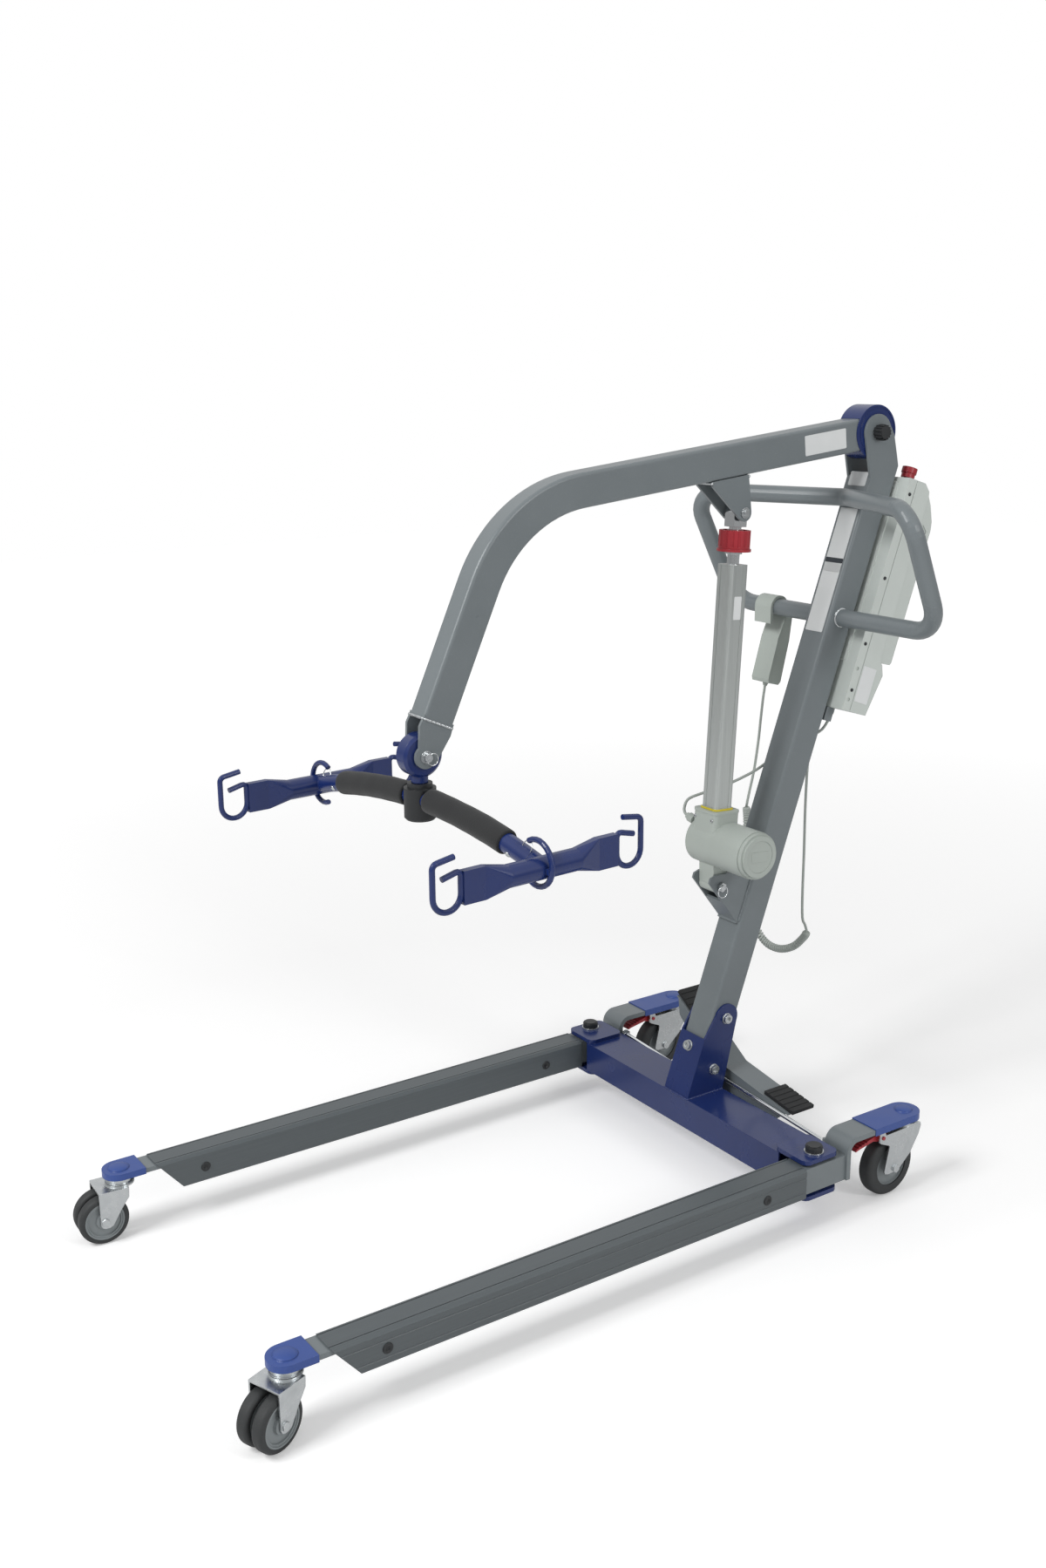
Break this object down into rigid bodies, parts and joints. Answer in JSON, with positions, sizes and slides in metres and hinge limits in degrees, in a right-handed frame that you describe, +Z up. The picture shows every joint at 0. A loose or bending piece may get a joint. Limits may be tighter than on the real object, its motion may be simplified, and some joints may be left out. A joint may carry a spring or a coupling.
{
  "type": "electric patient lift",
  "caption": "Mobile patient lift with spreading legs, leaning mast, powered boom, linear actuator and a swivelling cradle with sling hooks.",
  "frame": {"origin": "centre of the bounding box at floor level, measured without the free cords", "axes": "+Z up, legs and boom point to -Y, the operator stands on the +Y side, +X is the lift's side that holds the motor"},
  "size_m": [0.6474, 1.4054, 1.2093],
  "materials": {
    "grey_paint": "satin grey powder coat",
    "navy_paint": "gloss navy paint",
    "cap_plastic": "blue plastic",
    "cover_plastic": "ribbed dark grey plastic",
    "zinc": "zinc plated steel",
    "chrome": "polished chrome",
    "pale_plastic": "pale grey plastic",
    "alloy": "extruded satin aluminium",
    "black_plastic": "black plastic",
    "foam": "black foam",
    "pad_rubber": "black rubber",
    "tyre_rubber": "dark grey tread",
    "wheel_plastic": "grey plastic",
    "red_plastic": "red plastic",
    "board": "green circuit board",
    "cord_pvc": "grey cable sheath",
    "key_rubber": "soft key"
  },
  "bodies": {
    "chassis": {"crossbar": "navy_paint", "mast_socket": "navy_paint", "mast": "grey_paint", "mast_bolts": "zinc", "push_handle": "grey_paint", "actuator_bracket": "grey_paint", "pivot_bolts": "zinc", "bolt_caps": "black_plastic", "control_box": "pale_plastic", "control_board": "board", "handset_case": "pale_plastic", "handset_cord": "cord_pvc", "handset_coil": "cord_pvc", "actuator_cord": "cord_pvc"},
    "boom": {"boom_tube": "grey_paint", "boom_hub": "navy_paint", "actuator_clevis": "grey_paint", "boom_pins": "zinc"},
    "hanger": {"hanger_disc": "navy_paint"},
    "cradle": {"swivel_housing": "black_plastic", "spreader_bar": "navy_paint", "foam_grips": "foam", "cradle_right": "navy_paint", "cradle_left": "navy_paint"},
    "actuator": {"actuator_housing": "pale_plastic", "actuator_tube": "alloy", "drive_motor": "pale_plastic"},
    "screw": {"lead_screw": "zinc"},
    "rod": {"piston_rod": "chrome"},
    "knob": {"release_knob": "red_plastic"},
    "pedal": {"rocker_pedal": "grey_paint", "pedal_pads": "pad_rubber"},
    "right_link": {"link_rod_right": "chrome"},
    "left_link": {"link_rod_left": "chrome"},
    "battery": {"battery_pack": "pale_plastic"},
    "estop": {"estop_button": "red_plastic"},
    "up_key": {"up_button": "key_rubber"},
    "down_key": {"down_button": "key_rubber"},
    "right_leg": {"leg_tube_right": "grey_paint", "leg_cover_right": "cover_plastic", "leg_caps_right": "cap_plastic", "leg_screws_right": "black_plastic"},
    "right_front_caster": {"front_fork_right": "zinc"},
    "right_front_wheels": {"front_wheels_right": "wheel_plastic", "front_tyres_right": "tyre_rubber"},
    "right_rear_caster": {"rear_fork_right": "zinc"},
    "right_rear_wheel": {"rear_wheel_right": "wheel_plastic", "rear_tyre_right": "tyre_rubber"},
    "right_brake": {"rear_brake_right": "red_plastic"},
    "left_leg": {"leg_tube_left": "grey_paint", "leg_cover_left": "cover_plastic", "leg_caps_left": "cap_plastic", "leg_screws_left": "black_plastic"},
    "left_front_caster": {"front_fork_left": "zinc"},
    "left_front_wheels": {"front_wheels_left": "wheel_plastic", "front_tyres_left": "tyre_rubber"},
    "left_rear_caster": {"rear_fork_left": "zinc"},
    "left_rear_wheel": {"rear_wheel_left": "wheel_plastic", "rear_tyre_left": "tyre_rubber"},
    "left_brake": {"rear_brake_left": "red_plastic"}
  },
  "joints": [
    {"name": "boom_lift", "type": "hinge", "parent": "chassis", "child": "boom", "pos_m": [-0.00601, 0.59013, 1.1663], "axis": [-1, 0, 0], "range_deg": [0, 60]},
    {"name": "hanger_swing", "type": "hinge", "parent": "boom", "child": "hanger", "pos_m": [-0.00601, -0.25519, 0.75359], "axis": [1, 0, 0], "range_deg": [-45, 75]},
    {"name": "cradle_turn", "type": "hinge", "parent": "hanger", "child": "cradle", "pos_m": [-0.00601, -0.25519, 0.6917], "axis": [0, 0, 1], "continuous": true},
    {"name": "actuator_tilt", "type": "hinge", "parent": "chassis", "child": "actuator", "pos_m": [-0.00601, 0.28473, 0.461], "axis": [-1, 0, 0], "range_deg": [0, 1.52]},
    {"name": "rod_slide", "type": "slide", "parent": "actuator", "child": "rod", "axis": [0, 0.0542, 0.9985], "range_m": [0, 0.29496]},
    {"name": "knob_turn", "type": "hinge", "parent": "rod", "child": "knob", "pos_m": [-0.00601, 0.31693, 1.05399], "axis": [0, 0.0542, 0.9985], "continuous": true},
    {"name": "screw_turn", "type": "hinge", "parent": "actuator", "child": "screw", "pos_m": [-0.00601, 0.28473, 0.461], "axis": [0, 0.0542, 0.9985], "continuous": true},
    {"name": "right_leg_spread", "type": "hinge", "parent": "chassis", "child": "right_leg", "pos_m": [0.28019, 0.25253, 0.084], "axis": [0, 0, 1], "range_deg": [0, 13]},
    {"name": "left_leg_spread", "type": "hinge", "parent": "chassis", "child": "left_leg", "pos_m": [-0.29221, 0.25253, 0.084], "axis": [0, 0, -1], "range_deg": [0, 13]},
    {"name": "pedal_rock", "type": "hinge", "parent": "chassis", "child": "pedal", "pos_m": [-0.00601, 0.33253, 0.102], "axis": [0, -1, 0], "range_deg": [0, 42.7]},
    {"name": "right_link_turn", "type": "hinge", "parent": "right_leg", "child": "right_link", "pos_m": [0.24739, 0.30853, 0.1014], "axis": [0, 0, 1], "range_deg": [-13, 0]},
    {"name": "left_link_turn", "type": "hinge", "parent": "left_leg", "child": "left_link", "pos_m": [-0.25941, 0.30853, 0.1014], "axis": [0, 0, -1], "range_deg": [-13, 0]},
    {"name": "right_front_swivel", "type": "hinge", "parent": "right_leg", "child": "right_front_caster", "pos_m": [0.28019, -0.63147, 0.09], "axis": [0, 0, 1], "continuous": true},
    {"name": "right_front_spin", "type": "hinge", "parent": "right_front_caster", "child": "right_front_wheels", "pos_m": [0.29131, -0.66105, 0.038], "axis": [0.9361, 0.3518, 0], "continuous": true},
    {"name": "right_rear_swivel", "type": "hinge", "parent": "right_leg", "child": "right_rear_caster", "pos_m": [0.28019, 0.44493, 0.116], "axis": [0, 0, 1], "continuous": true},
    {"name": "right_rear_spin", "type": "hinge", "parent": "right_rear_caster", "child": "right_rear_wheel", "pos_m": [0.281, 0.40934, 0.05], "axis": [0.9997, 0.0227, 0], "continuous": true},
    {"name": "right_brake_press", "type": "hinge", "parent": "right_rear_caster", "child": "right_brake", "pos_m": [0.28169, 0.37895, 0.11], "axis": [0.9997, 0.0227, 0], "range_deg": [0, 9]},
    {"name": "left_front_swivel", "type": "hinge", "parent": "left_leg", "child": "left_front_caster", "pos_m": [-0.29221, -0.63147, 0.09], "axis": [0, 0, 1], "continuous": true},
    {"name": "left_front_spin", "type": "hinge", "parent": "left_front_caster", "child": "left_front_wheels", "pos_m": [-0.29441, -0.66299, 0.038], "axis": [0.9976, -0.0698, 0], "continuous": true},
    {"name": "left_rear_swivel", "type": "hinge", "parent": "left_leg", "child": "left_rear_caster", "pos_m": [-0.29221, 0.44493, 0.116], "axis": [0, 0, 1], "continuous": true},
    {"name": "left_rear_spin", "type": "hinge", "parent": "left_rear_caster", "child": "left_rear_wheel", "pos_m": [-0.2914, 0.40934, 0.05], "axis": [0.9997, 0.0227, 0], "continuous": true},
    {"name": "left_brake_press", "type": "hinge", "parent": "left_rear_caster", "child": "left_brake", "pos_m": [-0.29071, 0.37895, 0.11], "axis": [0.9997, 0.0227, 0], "range_deg": [0, 9]},
    {"name": "battery_lift", "type": "slide", "parent": "chassis", "child": "battery", "axis": [0, 0.3389, 0.9408], "range_m": [0, 0.03]},
    {"name": "estop_press", "type": "slide", "parent": "chassis", "child": "estop", "axis": [0, -0.3389, -0.9408], "range_m": [0, 0.004]},
    {"name": "up_press", "type": "slide", "parent": "chassis", "child": "up_key", "axis": [0, -0.9686, 0.2487], "range_m": [0, 0.0015], "stiffness_N_per_m": 400},
    {"name": "down_press", "type": "slide", "parent": "chassis", "child": "down_key", "axis": [0, -0.9686, 0.2487], "range_m": [0, 0.0015], "stiffness_N_per_m": 400}
  ],
  "couplings": [
    {"joint": "actuator_tilt", "follows": "boom_lift", "ratio": 0.025152},
    {"joint": "rod_slide", "follows": "boom_lift", "m_per_rad": 0.28148},
    {"joint": "left_leg_spread", "follows": "right_leg_spread", "ratio": 1},
    {"joint": "pedal_rock", "follows": "right_leg_spread", "ratio": 3.2769},
    {"joint": "right_link_turn", "follows": "right_leg_spread", "ratio": -1},
    {"joint": "left_link_turn", "follows": "right_leg_spread", "ratio": -1}
  ]
}
